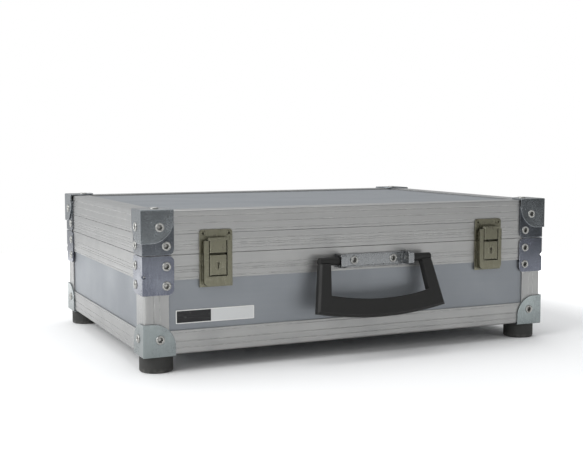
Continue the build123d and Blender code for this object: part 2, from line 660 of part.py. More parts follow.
def lock_lever(x_sign):
    """Pivoting lock lever with the keyhole; its top edge holds the hasp."""
    x = x_sign * LOCK_X
    z = level(KEY_LEVEL)
    lug_half = LUG_DIAMETER / 2
    lug = block((x - LUG_HALF, x + LUG_HALF), (out(FLAP_OUT - FLAP_THICK), out(LEVER_PIVOT_OUT)),
                (level(LEVER_PIVOT - lug_half), level(LEVER_PIVOT + lug_half)))
    lug += across(x_sign, LUG_DIAMETER, LUG_HALF, LEVER_PIVOT_OUT, LEVER_PIVOT)
    cylinder = rod(KEY_PLUG + 2 * CYLINDER_WALL, (x, out(FLAP_OUT - FLAP_THICK), z),
                   (x, out(LEVER_PIVOT_OUT), z))
    lever = flap_face(x_sign, LEVER_LOW, SEAM - FLAP_GAP / 2) + lug + cylinder
    lever -= across(x_sign, LEVER_PIN + 2 * PIN_FIT, BIG, LEVER_PIVOT_OUT, LEVER_PIVOT)
    bore = rod(KEY_PLUG + 2 * KEY_PLUG_FIT, (x, out(FLAP_OUT + METAL), z),
               (x, out(FLAP_OUT - KEY_PLUG_LONG), z))
    return lever - bore


def key_plug(x_sign):
    """Turning plug of the key cylinder, with its keyhole."""
    x = x_sign * LOCK_X
    z = level(KEY_LEVEL)
    front = out(FLAP_OUT)
    floor = out(FLAP_OUT - KEYWAY_DEPTH)
    top = z + KEYHOLE_RISE
    back = out(FLAP_OUT - KEY_PLUG_LONG + KEY_PLUG_FIT)
    plug = rod(KEY_PLUG, (x, out(FLAP_OUT - KEY_PLUG_SINK), z), (x, back, z))
    hole = rod(KEYHOLE, (x, front, top), (x, floor, top))
    slot = block((x - KEYWAY_WIDTH / 2, x + KEYWAY_WIDTH / 2), (front, floor), (z - KEYWAY_DROP, top))
    return plug - hole - slot


def hasp_barrel(x_sign, diameter, half):
    """Round bar about the hasp's hinge axis."""
    reach = HASP_BARREL / 2
    return across(x_sign, diameter, half, FLAP_OUT - reach, HASP_TOP - reach)


def strike_plate(x_sign):
    """Lid half of a lock: riveted plate with two ears that carry the hasp."""
    x = x_sign * LOCK_X
    plate = block((x - LOCK_HALF, x + LOCK_HALF), (out(LOCK_PLATE), out(0)),
                  (level(SEAM + SEAM_GAP), level(LOCK_HIGH)))
    top_edges = [e for e in plate.edges().filter_by(Axis.Y) if e.center().Z > level(LOCK_HIGH) - TOUCH]
    plate = fillet(top_edges, STRIKE_ROUND)
    ear_low = level(FRAME_HIGH) + EAR_CLEAR
    inner = FLAP_HALF + EAR_GAP
    outer = inner + EAR_THICK
    axis_y = out(FLAP_OUT - HASP_BARREL / 2)
    ears = hasp_barrel(x_sign, HASP_BARREL, outer)
    ears += block((x - outer, x + outer), (axis_y, out(LOCK_PLATE)), (ear_low, level(HASP_TOP)))
    ears -= block((x - inner, x + inner), (out(BIG), out(LOCK_PLATE)), (ear_low, level(HASP_TOP)))
    ears -= block((x - BIG, x + BIG), (out(BIG), out(LOCK_PLATE)), (0, ear_low))
    plate += ears
    plate -= hasp_barrel(x_sign, HASP_PIN, BIG)
    for hole in strike_rivets(x_sign):
        plate -= shank(*hole, kind=LOCK_RIVET)
    return plate


def strike_rivets(x_sign):
    """Two rivets that hold a strike plate to the lid."""
    x = x_sign * LOCK_X
    return [((x + side * LOCK_RIVET_HALF, out(LOCK_PLATE), level(LOCK_RIVET_LEVEL)), (0, -1, 0),
             LOCK_PLATE + METAL + PANEL) for side in (-1, 1)]


def hasp(x_sign):
    """Flap hinged at the top of the strike plate, with a nose over the lever's edge."""
    x = x_sign * LOCK_X
    low = SEAM + FLAP_GAP / 2
    nose = block((x - LUG_HALF, x + LUG_HALF), (out(FLAP_OUT - FLAP_THICK), out(FLAP_OUT - NOSE_IN)),
                 (level(low), level(low + NOSE_HEIGHT)))
    flap = flap_face(x_sign, low, HASP_TOP - HASP_SHOULDER) + nose
    flap += hasp_barrel(x_sign, HASP_BARREL, FLAP_HALF)
    return flap - hasp_barrel(x_sign, HASP_PIN + 2 * PIN_FIT, BIG)


def hasp_pin(x_sign):
    """Pin of the hasp, flush with the ears."""
    return hasp_barrel(x_sign, HASP_PIN, FLAP_HALF + EAR_GAP + EAR_THICK)


# ---- hinges -------------------------------------------------------------------------------
def hinge_axis():
    return DEPTH / 2 + HINGE_OUT, level(SEAM + SEAM_GAP / 2)


def hinge_leaf(x_sign, lid):
    """One leaf of a hinge with its knuckles; the lid's leaf has the knuckles between the base's."""
    y_axis, z_axis = hinge_axis()
    x = x_sign * HINGE_X
    face = DEPTH / 2
    half = HINGE_LENGTH / 2
    if lid:
        leaf_range = (level(SEAM + SEAM_GAP), level(SEAM + HINGE_LEAF))
        web_range = (z_axis, z_axis + HINGE_KNUCKLE / 2)
    else:
        leaf_range = (level(SEAM - HINGE_LEAF), level(SEAM))
        web_range = (z_axis - HINGE_KNUCKLE / 2, z_axis)
    leaf = block((x - half, x + half), (face, face + METAL), leaf_range)
    step = HINGE_LENGTH / HINGE_KNUCKLES
    room = HINGE_KNUCKLE / 2 + KNUCKLE_GAP
    for index in range(HINGE_KNUCKLES):
        start = x - half + index * step + KNUCKLE_GAP / 2
        end = start + step - KNUCKLE_GAP
        if (index % 2 == 1) == lid:
            leaf += rod(HINGE_KNUCKLE, (start, y_axis, z_axis), (end, y_axis, z_axis))
            leaf += block((start, end), (face, y_axis), web_range)
        else:
            leaf -= rod(2 * room, (start - KNUCKLE_GAP, y_axis, z_axis),
                        (end + KNUCKLE_GAP, y_axis, z_axis))
    fit = PIN_FIT if lid else 0.0
    leaf -= rod(HINGE_PIN + 2 * fit, (x - BIG, y_axis, z_axis), (x + BIG, y_axis, z_axis))
    for hole in hinge_rivets(x_sign, lid):
        leaf -= shank(*hole)
    return leaf


def hinge_rivets(x_sign, lid):
    height = SEAM + SEAM_GAP + HINGE_RIVET_LEVEL if lid else SEAM - HINGE_RIVET_LEVEL
    return [((x_sign * HINGE_X + side * HINGE_RIVET_HALF, DEPTH / 2 + METAL, level(height)), (0, 1, 0),
             METAL + CHANNEL) for side in (-1, 1)]


def hinge_pin(x_sign):
    y_axis, z_axis = hinge_axis()
    half = HINGE_LENGTH / 2
    x = x_sign * HINGE_X
    return rod(HINGE_PIN, (x - half, y_axis, z_axis), (x + half, y_axis, z_axis))


def label_plate():
    """Blank plate glued to the front wall."""
    y_face = -DEPTH / 2 + METAL
    plate = block((LABEL_X - LABEL_WIDTH / 2, LABEL_X + LABEL_WIDTH / 2), (y_face - LABEL_THICK, y_face),
                  (level(LABEL_LEVEL - LABEL_HEIGHT / 2), level(LABEL_LEVEL + LABEL_HEIGHT / 2)))
    return fillet(plate.edges().filter_by(Axis.Y), LABEL_ROUND)


# ---- build --------------------------------------------------------------------------------
def drilled(piece, holes):
    """The piece with every rivet hole that reaches it cut out."""
    box = piece.bounding_box()
    for hole in holes:
        room = hole.bounding_box()
        apart = (room.min.X > box.max.X or room.max.X < box.min.X or room.min.Y > box.max.Y
                 or room.max.Y < box.min.Y or room.min.Z > box.max.Z or room.max.Z < box.min.Z)
        if not apart:
            piece = piece - hole
    return piece


def build():
    os.makedirs("parts", exist_ok=True)
    base_rivets = []
    lid_rivets = []
    for signs in CORNERS.values():
        base, lid = corner_rivets(*signs)
        base_rivets += base
        lid_rivets += lid
    for x_sign in (-1, 1):
        base_rivets += hinge_rivets(x_sign, lid=False)
        lid_rivets += hinge_rivets(x_sign, lid=True)
    base_rivets += [bracket_rivet(x_sign) for x_sign in (-1, 1)]
    housing_rivets = lock_base_rivets(-1) + lock_base_rivets(1)
    plate_rivets = strike_rivets(-1) + strike_rivets(1)

    base_holes = [shank(*r) for r in base_rivets]
    base_holes += [shank(*r, kind=LOCK_RIVET) for r in housing_rivets]
    base_holes += [foot_hole(*signs) for signs in CORNERS.values()]
    lid_holes = [shank(*r) for r in lid_rivets]
    lid_holes += [shank(*r, kind=LOCK_RIVET) for r in plate_rivets]

    # base
    write("bottom_panel", drilled(flat_panel(METAL, METAL + PANEL), base_holes))
    for side in SIDES:
        write(f"{side}_wall_panel", drilled(wall_panel(side, METAL, SEAM - WEB), base_holes))
        write(f"{side}_bottom_profile", drilled(bottom_profile(side), base_holes))
        write(f"{side}_rim_profile", drilled(rim_profile(side), base_holes))
    write("corner_posts", *[drilled(corner_post(*signs), base_holes) for signs in CORNERS.values()])
    for name, signs in CORNERS.items():
        write(f"bottom_corner_{name}", drilled(bottom_corner(*signs), base_holes))
        write(f"foot_{name}", foot(*signs))
    write("base_braces", *[drilled(brace(*signs, BASE_BRACE_LOW, BASE_BRACE_HIGH, NOTCH_HEIGHT), base_holes)
                           for signs in CORNERS.values()])
    write("foot_screws", *[foot_screw(*signs) for signs in CORNERS.values()])
    write("base_rivets", *[rivet(*r) for r in base_rivets])
    write("label_plate", label_plate())
    write("hinge_base_leaves", *[hinge_leaf(x_sign, lid=False) for x_sign in (-1, 1)])
    write("hinge_pins", *[hinge_pin(x_sign) for x_sign in (-1, 1)])

    # lid
    top = SHELL_HEIGHT - METAL
    low = SEAM + SEAM_GAP + LID_WEB
    write("lid_top_panel", drilled(flat_panel(top - PANEL, top), lid_holes))
    write("lid_wall_panels", *[drilled(wall_panel(side, low, top), lid_holes) for side in SIDES])
    for side in SIDES:
        write(f"lid_{side}_edge_profile", drilled(lid_edge_profile(side), lid_holes))
        write(f"lid_{side}_closure_profile", drilled(lid_closure_profile(side), lid_holes))
    write("lid_braces", *[drilled(brace(*signs, SEAM + SEAM_GAP, LID_BRACE_HIGH), lid_holes)
                          for signs in CORNERS.values()])
    write("top_corners", *[drilled(top_corner(*signs), lid_holes) for signs in CORNERS.values()])
    write("lid_rivets", *[rivet(*r) for r in lid_rivets])
    write("hinge_lid_leaves", *[hinge_leaf(x_sign, lid=True) for x_sign in (-1, 1)])
    write("strike_rivets", *[rivet(*r, kind=LOCK_RIVET) for r in plate_rivets])

    # handle
    write("handle_bracket", handle_bracket())
    write("handle_grip", handle_grip())
    write("handle_pins", *[handle_pin(x_sign) for x_sign in (-1, 1)])

    # locks
    write("lock_housing_rivets", *[rivet(*r, kind=LOCK_RIVET) for r in housing_rivets])
    write("lock_lever_pins", *[lever_pin(x_sign) for x_sign in (-1, 1)])
    write("lever_springs", *[lever_spring(x_sign) for x_sign in (-1, 1)])
    write("hasp_pins", *[hasp_pin(x_sign) for x_sign in (-1, 1)])
    for side, x_sign in (("left", -1), ("right", 1)):
        write(f"lock_housing_{side}", lock_housing(x_sign))
        write(f"lock_lever_{side}", lock_lever(x_sign))
        write(f"key_plug_{side}", key_plug(x_sign))
        write(f"strike_plate_{side}", strike_plate(x_sign))
        write(f"hasp_{side}", hasp(x_sign))


build()
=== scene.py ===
import json
from math import cos, pi, radians, sin

import bpy
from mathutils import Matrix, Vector


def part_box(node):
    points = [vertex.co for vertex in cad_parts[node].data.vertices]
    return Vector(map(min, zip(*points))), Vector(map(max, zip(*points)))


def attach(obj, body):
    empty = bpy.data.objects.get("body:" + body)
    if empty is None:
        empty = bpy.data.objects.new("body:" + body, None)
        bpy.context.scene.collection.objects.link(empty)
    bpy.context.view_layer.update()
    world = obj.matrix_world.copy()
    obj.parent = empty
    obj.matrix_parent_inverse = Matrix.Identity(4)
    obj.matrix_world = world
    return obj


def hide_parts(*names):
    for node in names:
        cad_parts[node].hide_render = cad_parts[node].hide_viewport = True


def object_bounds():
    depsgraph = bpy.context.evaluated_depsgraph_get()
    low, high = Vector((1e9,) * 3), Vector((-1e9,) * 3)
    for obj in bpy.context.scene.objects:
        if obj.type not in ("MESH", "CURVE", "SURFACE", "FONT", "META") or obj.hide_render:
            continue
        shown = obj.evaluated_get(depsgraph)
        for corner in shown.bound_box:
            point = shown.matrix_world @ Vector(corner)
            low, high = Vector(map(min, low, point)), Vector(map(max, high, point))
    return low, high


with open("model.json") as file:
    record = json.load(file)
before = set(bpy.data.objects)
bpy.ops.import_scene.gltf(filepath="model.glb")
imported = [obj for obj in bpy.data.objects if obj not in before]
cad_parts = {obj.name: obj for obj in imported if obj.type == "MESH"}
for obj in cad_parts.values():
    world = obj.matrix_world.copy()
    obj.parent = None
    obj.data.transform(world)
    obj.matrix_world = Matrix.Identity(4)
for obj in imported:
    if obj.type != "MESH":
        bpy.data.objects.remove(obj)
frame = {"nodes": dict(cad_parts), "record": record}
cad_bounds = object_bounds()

# Looks of the aluminium carrying case.  Metres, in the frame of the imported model: +X right, -Y front.
# Object coordinates of a CAD node are positions at rest, so every texture scale is in features per metre.

MM = 0.001

# ---- camera, light and floor --------------------------------------------------------------
EYE_FROM_SHELL = (-0.4879, -1.0577, 0.2004)   # from the middle of the shell's underside
VIEW_AZIMUTH = 24.6                           # degrees to the right of straight back
VIEW_DROP = 4.79                              # degrees below the horizon
LENS = 62.97                                  # millimetres on a 36 mm sensor
FLOOR_RADIUS = 0.95
FLOOR_FADE = (0.34, 0.72)                      # where the floor starts and ends merging into white
FLOOR_SIDES = 96

LAMPS = (                                     # name, place, size in metres, power in watts
    ("key", (-2.0, -0.5, 1.3), 1.6, 34.0),
    ("top", (0.2, 0.4, 2.2), 1.8, 15.0),
    ("front_fill", (0.9, -2.2, 0.9), 1.4, 7.0),
)
# Surround's strength along each axis: direction from, direction to, strength there, strength there.
FRONT_TO_BACK = (-0.9, 0.5, 0.26, 0.80)
LEFT_TO_RIGHT = (-0.9, 0.6, 1.65, 0.80)
LOW_TO_HIGH = (-0.1, 0.9, 0.75, 1.00)


def shell_foot():
    """Middle of the shell's underside, from the two long bottom profiles."""
    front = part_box("front_bottom_profile")[0]
    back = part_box("back_bottom_profile")[1]
    return Vector(((front[0] + back[0]) / 2, (front[1] + back[1]) / 2, front[2]))


def add_camera():
    data = bpy.data.cameras.new("camera")
    data.lens = LENS
    data.sensor_width = 36.0
    camera = bpy.data.objects.new("camera", data)
    bpy.context.collection.objects.link(camera)
    camera.location = shell_foot() + Vector(EYE_FROM_SHELL)
    camera.rotation_euler = (radians(90.0 - VIEW_DROP), 0.0, radians(-VIEW_AZIMUTH))
    bpy.context.scene.camera = camera


def add_floor():
    """Round pale floor that merges into the white surround before its rim."""
    mesh = bpy.data.meshes.new("floor")
    ring = []
    for index in range(FLOOR_SIDES):
        angle = 2 * pi * index / FLOOR_SIDES
        ring.append((FLOOR_RADIUS * cos(angle), FLOOR_RADIUS * sin(angle), 0.0))
    mesh.from_pydata(ring, [], [tuple(range(FLOOR_SIDES))])
    floor = bpy.data.objects.new("floor", mesh)
    bpy.context.collection.objects.link(floor)
    paint = Paint("floor_white", colour=(0.93, 0.93, 0.93), roughness=0.8)
    grain = paint.noise(900.0)
    paint.bump(grain, 0.05 * MM, strength=0.2)
    from_middle = paint.node("ShaderNodeVectorMath", {0: paint.place}, operation="LENGTH").outputs["Value"]
    paint.shader.inputs["Emission Color"].default_value = (1.0, 1.0, 1.0, 1.0)
    paint.feed(paint.shader.inputs["Emission Strength"], paint.spread(from_middle, *FLOOR_FADE))
    mesh.materials.append(paint.material)


def add_area(name, place, size, power):
    """Soft square lamp aimed at the middle of the case."""
    data = bpy.data.lights.new(name, "AREA")
    data.shape = "SQUARE"
    data.size = size
    data.energy = power
    lamp = bpy.data.objects.new(name, data)
    bpy.context.collection.objects.link(lamp)
    lamp.location = place
    middle = (Vector(cad_bounds[0]) + Vector(cad_bounds[1])) / 2
    lamp.rotation_euler = (middle - lamp.location).to_track_quat("-Z", "Y").to_euler()


def add_world():
    """Studio surround: white to look at, and for light brighter overhead and dimmer towards the front."""
    world = bpy.data.worlds.new("studio")
    bpy.context.scene.world = world
    world.use_nodes = True
    tree = world.node_tree
    tree.nodes.clear()
    link = tree.links.new
    new = tree.nodes.new
    direction = new("ShaderNodeTexCoord").outputs["Generated"]
    split = new("ShaderNodeSeparateXYZ")
    link(direction, split.inputs[0])

    def band(source, low, high, at_low, at_high):
        node = new("ShaderNodeMapRange")
        node.interpolation_type = "SMOOTHSTEP"
        link(source, node.inputs["Value"])
        node.inputs["From Min"].default_value = low
        node.inputs["From Max"].default_value = high
        node.inputs["To Min"].default_value = at_low
        node.inputs["To Max"].default_value = at_high
        return node.outputs["Result"]

    def product(first, second):
        node = new("ShaderNodeMath")
        node.operation = "MULTIPLY"
        link(first, node.inputs[0])
        link(second, node.inputs[1])
        return node.outputs[0]

    depth = band(split.outputs["Y"], *FRONT_TO_BACK)
    width = band(split.outputs["X"], *LEFT_TO_RIGHT)
    height = band(split.outputs["Z"], *LOW_TO_HIGH)
    strength = product(product(depth, width), height)
    light = new("ShaderNodeBackground")
    light.inputs["Color"].default_value = (0.97, 0.985, 1.0, 1.0)
    link(strength, light.inputs["Strength"])
    seen = new("ShaderNodeBackground")
    seen.inputs["Color"].default_value = (1.0, 1.0, 1.0, 1.0)
    seen.inputs["Strength"].default_value = 1.0
    mix = new("ShaderNodeMixShader")
    link(new("ShaderNodeLightPath").outputs["Is Camera Ray"], mix.inputs["Fac"])
    link(light.outputs[0], mix.inputs[1])
    link(seen.outputs[0], mix.inputs[2])
    link(mix.outputs[0], new("ShaderNodeOutputWorld").inputs["Surface"])


# ---- material building --------------------------------------------------------------------
MIX_FACTOR = 0              # sockets of a Mix node when it mixes colours
MIX_UNDER = 6
MIX_OVER = 7
MIX_RESULT = 2


class Paint:
    """A Principled material with short calls for the nodes that give it its detail."""

    def __init__(self, name, colour, roughness, metallic=0.0, **sockets):
        self.material = bpy.data.materials.new(name)
        self.material.use_nodes = True
        self.tree = self.material.node_tree
        self.shader = self.tree.nodes["Principled BSDF"]
        self.shader.inputs["Base Color"].default_value = (*colour, 1.0)
        self.shader.inputs["Roughness"].default_value = roughness
        self.shader.inputs["Metallic"].default_value = metallic
        for socket, value in sockets.items():
            self.shader.inputs[socket.replace("_", " ")].default_value = value
        self.colour = (*colour, 1.0)
        self.roughness = roughness
        self.normal = None
        self.place = self.node("ShaderNodeTexCoord").outputs["Object"]

    def node(self, kind, inputs=None, **fields):
        made = self.tree.nodes.new(kind)
        for field, value in fields.items():
            setattr(made, field, value)
        for socket, value in (inputs or {}).items():
            self.feed(made.inputs[socket], value)
        return made

    def feed(self, socket, value):
        """Links a socket, or sets it when the value is a plain number or vector."""
        if isinstance(value, bpy.types.NodeSocket):
            self.tree.links.new(value, socket)
        else:
            socket.default_value = value

    def noise(self, scale, detail=2.0, along=None, stretch=0.02, shift=0.0):
        """Noise with that many features per metre, drawn out along an axis when one is named."""
        sizes = [scale * (stretch if axis == along else 1.0) for axis in "XYZ"]
        mapped = self.node("ShaderNodeMapping", {"Vector": self.place, "Scale": sizes,
                                                 "Location": (shift, shift, shift)})
        return self.node("ShaderNodeTexNoise", {"Vector": mapped.outputs[0], "Scale": 1.0,
                                                "Detail": detail}).outputs["Fac"]

    def spread(self, value, low, high, at_low=0.0, at_high=1.0):
        """Maps low..high of a value to at_low..at_high, held at the ends."""
        return self.node("ShaderNodeMapRange", {"Value": value, "From Min": low, "From Max": high,
                                                "To Min": at_low, "To Max": at_high}).outputs["Result"]

    def maths(self, operation, first, second=0.0):
        return self.node("ShaderNodeMath", {0: first, 1: second}, operation=operation).outputs[0]

    def tint(self, mask, colour, amount=1.0):
        """Mixes another colour in where the mask is 1."""
        factor = self.maths("MULTIPLY", mask, amount)
        mix = self.node("ShaderNodeMix", data_type="RGBA")
        self.feed(mix.inputs[MIX_FACTOR], factor)
        self.feed(mix.inputs[MIX_UNDER], self.colour)
        self.feed(mix.inputs[MIX_OVER], (*colour, 1.0))
        self.colour = mix.outputs[MIX_RESULT]
        self.tree.links.new(self.colour, self.shader.inputs["Base Color"])

    def roughen(self, mask, change):
        """Adds a change of roughness where the mask is 1."""
        self.roughness = self.maths("ADD", self.maths("MULTIPLY", mask, change), self.roughness)
        self.tree.links.new(self.roughness, self.shader.inputs["Roughness"])

    def bump(self, height, distance, strength=1.0):
        """Adds relief of that height in metres over whatever relief there is."""
        inputs = {"Height": height, "Distance": distance, "Strength": strength}
        if self.normal is not None:
            inputs["Normal"] = self.normal
        self.normal = self.node("ShaderNodeBump", inputs).outputs["Normal"]
        self.tree.links.new(self.normal, self.shader.inputs["Normal"])

    def soften_edges(self, radius):
        """Rounds the shading of sharp edges and returns a mask of them, used for wear and for painted edge
        highlights.
        """
        rounded = self.node("ShaderNodeBevel", {"Radius": radius}, samples=6).outputs["Normal"]
        flat = self.node("ShaderNodeNewGeometry").outputs["Normal"]
        facing = self.node("ShaderNodeVectorMath", {0: rounded, 1: flat},
                           operation="DOT_PRODUCT").outputs["Value"]
        self.normal = rounded
        self.tree.links.new(rounded, self.shader.inputs["Normal"])
        return self.spread(facing, 0.995, 0.86)

    def hollow_shade(self, reach):
        """Ambient-occlusion mask of the corners and hollows, for painted shade there."""
        open_sky = self.node("ShaderNodeAmbientOcclusion", {"Distance": reach}, samples=6).outputs["AO"]
        return self.spread(open_sky, 0.75, 0.25)


# ---- materials ----------------------------------------------------------------------------
def aluminium_profile(along):
    """Extruded aluminium, with die lines and brush marks along its length and bright handled edges."""
    paint = Paint(f"profile_aluminium_{along.lower()}", (0.35, 0.35, 0.345), 0.38, metallic=0.9)
    edges = paint.soften_edges(0.5 * MM)
    die_lines = paint.noise(420.0, detail=3.0, along=along, stretch=0.004)
    brush = paint.noise(2600.0, detail=2.0, along=along, stretch=0.01)
    cloud = paint.noise(28.0, detail=4.0, shift=3.0)
    paint.tint(paint.spread(die_lines, 0.52, 0.72), (0.395, 0.395, 0.388), 0.35)
    paint.tint(paint.spread(die_lines, 0.46, 0.30), (0.295, 0.295, 0.292), 0.35)
    paint.tint(paint.spread(brush, 0.5, 0.8), (0.43, 0.43, 0.423), 0.25)
    paint.tint(paint.spread(cloud, 0.45, 0.7), (0.30, 0.304, 0.304), 0.35)
    paint.roughen(paint.spread(brush, 0.3, 0.7, -0.5, 0.5), 0.12)
    paint.roughen(paint.spread(cloud, 0.35, 0.65), 0.08)
    wear = paint.maths("MULTIPLY", edges, paint.spread(paint.noise(160.0, detail=4.0), 0.3, 0.6))
    paint.tint(wear, (0.72, 0.72, 0.71), 0.7)
    paint.roughen(wear, -0.12)
    paint.bump(die_lines, 0.015 * MM, 0.5)
    paint.bump(brush, 0.006 * MM, 0.6)
    return paint.material


def aluminium_panel():
    """Anodised sheet: even satin with a fine grain, faint rolling direction and hand marks."""
    paint = Paint("panel_aluminium", (0.240, 0.256, 0.275), 0.42, metallic=0.7)
    edges = paint.soften_edges(0.4 * MM)
    grain = paint.noise(3200.0, detail=1.0)
    rolled = paint.noise(300.0, detail=3.0, along="X", stretch=0.03)
    smudge = paint.noise(11.0, detail=3.0, shift=5.0)
    paint.tint(paint.spread(rolled, 0.4, 0.7), (0.26, 0.275, 0.292), 0.35)
    paint.tint(paint.spread(smudge, 0.5, 0.75), (0.20, 0.213, 0.23), 0.4)
    paint.tint(paint.spread(grain, 0.5, 0.8), (0.30, 0.315, 0.33), 0.4)
    paint.roughen(paint.spread(smudge, 0.4, 0.65), 0.1)
    paint.roughen(paint.spread(grain, 0.3, 0.7, -0.5, 0.5), 0.08)
    # Painted highlight: every edge paler.
    paint.tint(edges, (0.45, 0.46, 0.47), 0.5)
    paint.bump(grain, 0.006 * MM, 0.5)
    return paint.material


def passivated_steel(name, base, deep, pale):
    """Passivated zinc on pressed steel: drifting tint, fine pressing marks and bright worn edges."""
    paint = Paint(name, base, 0.19, metallic=1.0)
    edges = paint.soften_edges(0.6 * MM)
    drift = paint.noise(45.0, detail=3.0)
    marks = paint.noise(1500.0, detail=2.0, along="Z", stretch=0.06)
    spots = paint.noise(700.0, detail=3.0, shift=7.0)
    paint.tint(paint.spread(drift, 0.4, 0.65), deep, 0.7)
    paint.tint(paint.spread(marks, 0.55, 0.8), pale, 0.35)
    paint.tint(paint.spread(spots, 0.66, 0.74), pale, 0.3)
    paint.roughen(paint.spread(drift, 0.35, 0.65), 0.1)
    paint.roughen(paint.spread(spots, 0.3, 0.7, -0.5, 0.5), 0.1)
    wear = paint.maths("MULTIPLY", edges, paint.spread(paint.noise(300.0, detail=4.0), 0.35, 0.55))
    paint.tint(wear, (0.62, 0.64, 0.67), 0.7)
    paint.roughen(wear, -0.08)
    paint.bump(marks, 0.01 * MM, 0.4)
    paint.bump(spots, 0.02 * MM, 0.3)
    return paint.material


def bright_steel():
    """Plated rivets, pins and screws, with painted shade in their hollows and painted highlights on their
    edges.
    """
    paint = Paint("rivet_steel", (0.38, 0.38, 0.365), 0.24, metallic=1.0)
    edges = paint.soften_edges(0.15 * MM)
    turned = paint.noise(2400.0, detail=2.0)
    paint.tint(paint.spread(turned, 0.5, 0.8), (0.36, 0.36, 0.34), 0.5)
    # Painted shade: near black where ambient occlusion finds hollows.
    paint.tint(paint.hollow_shade(2.5 * MM), (0.05, 0.05, 0.048), 0.9)
    # Painted highlight: every edge paler.
    paint.tint(edges, (0.80, 0.80, 0.77), 0.5)
    paint.roughen(paint.spread(turned, 0.3, 0.7), 0.14)
    paint.bump(turned, 0.01 * MM, 0.4)
    return paint.material


def lock_nickel():
    """Aged olive nickel plate with a vertical grain, painted shade in its corners and painted highlights
    on its edges.
    """
    paint = Paint("lock_nickel", (0.165, 0.160, 0.118), 0.28, metallic=0.95)
    edges = paint.soften_edges(0.25 * MM)
    grain = paint.noise(2800.0, detail=2.0, along="Z", stretch=0.03)
    patina = paint.noise(260.0, detail=4.0)
    paint.tint(paint.spread(patina, 0.45, 0.7), (0.145, 0.139, 0.098), 0.6)
    paint.tint(paint.spread(grain, 0.5, 0.8), (0.25, 0.245, 0.19), 0.5)
    # Painted shade: darker where ambient occlusion finds corners.
    paint.tint(paint.hollow_shade(3.0 * MM), (0.07, 0.066, 0.05), 0.75)
    # Painted highlight: every edge bright.
    paint.tint(edges, (0.62, 0.60, 0.49), 0.75)
    paint.roughen(paint.spread(patina, 0.4, 0.7), 0.14)
    paint.roughen(paint.spread(grain, 0.3, 0.7, -0.5, 0.5), 0.08)
    paint.bump(grain, 0.008 * MM, 0.5)
    return paint.material


def bright_zinc():
    """Bright zinc plate on the handle bracket and hinges, with a soft mottle, painted shade in its hollows
    and painted highlights on its edges.
    """
    paint = Paint("bracket_zinc", (0.235, 0.244, 0.250), 0.24, metallic=1.0)
    edges = paint.soften_edges(0.4 * MM)
    mottle = paint.noise(380.0, detail=3.0)
    haze = paint.noise(1900.0, detail=2.0)
    paint.tint(paint.spread(mottle, 0.45, 0.7), (0.215, 0.223, 0.229), 0.3)
    # Painted shade: darker where ambient occlusion finds hollows.
    paint.tint(paint.hollow_shade(3.0 * MM), (0.12, 0.12, 0.125), 0.6)
    # Painted highlight: every edge near white.
    paint.tint(edges, (0.80, 0.81, 0.82), 0.8)
    paint.roughen(paint.spread(mottle, 0.4, 0.7), 0.12)
    paint.roughen(paint.spread(haze, 0.3, 0.7, -0.5, 0.5), 0.08)
    paint.bump(haze, 0.001 * MM, 0.3)
    return paint.material


def black_plastic():
    """Moulded handle plastic with a fine spark texture, smoother and darker in handled patches, with
    painted highlights along its edges.
    """
    paint = Paint("black_plastic", (0.015, 0.015, 0.0145), 0.48, Specular_IOR_Level=0.2)
    edges = paint.soften_edges(0.8 * MM)
    texture = paint.noise(2200.0, detail=3.0)
    handling = paint.noise(40.0, detail=3.0, shift=2.0)
    paint.tint(paint.spread(texture, 0.45, 0.7), (0.020, 0.020, 0.019), 0.6)
    paint.tint(paint.spread(handling, 0.5, 0.7), (0.011, 0.011, 0.0105), 0.5)
    # Painted highlight: every edge paler.
    paint.tint(edges, (0.075, 0.075, 0.072), 0.6)
    paint.roughen(paint.spread(handling, 0.4, 0.65), -0.1)
    paint.roughen(paint.spread(texture, 0.3, 0.7, -0.5, 0.5), 0.08)
    paint.bump(texture, 0.04 * MM, 0.45)
    return paint.material


def rubber():
    """Matt black rubber with mould texture, paler in patches near the floor, and painted highlights on its
    edges.
    """
    paint = Paint("rubber", (0.026, 0.026, 0.024), 0.72, IOR=1.5)
    edges = paint.soften_edges(0.6 * MM)
    texture = paint.noise(1500.0, detail=4.0)
    rings = paint.noise(900.0, detail=1.0, along="X", stretch=0.0)
    height = paint.node("ShaderNodeSeparateXYZ", {0: paint.place}).outputs["Z"]
    low = paint.spread(height, 5.0 * MM, 0.0)
    # Paler in patches within 5 mm of the floor.
    paler_low_patches = paint.maths("MULTIPLY", low, paint.spread(paint.noise(240.0, detail=4.0), 0.35, 0.65))
    paint.tint(paint.spread(texture, 0.5, 0.75), (0.045, 0.045, 0.042), 0.6)
    paint.tint(paler_low_patches, (0.15, 0.145, 0.135), 0.6)
    # Painted highlight: every edge lighter.
    paint.tint(edges, (0.06, 0.06, 0.057), 0.6)
    paint.roughen(paint.spread(texture, 0.3, 0.7, -0.5, 0.5), 0.12)
    paint.bump(texture, 0.08 * MM, 0.5)
    paint.bump(rings, 0.03 * MM, 0.3)
    return paint.material


LABEL_DARK_PART = 0.44      # share of the label's width
LABEL_BORDER = 0.8 * MM


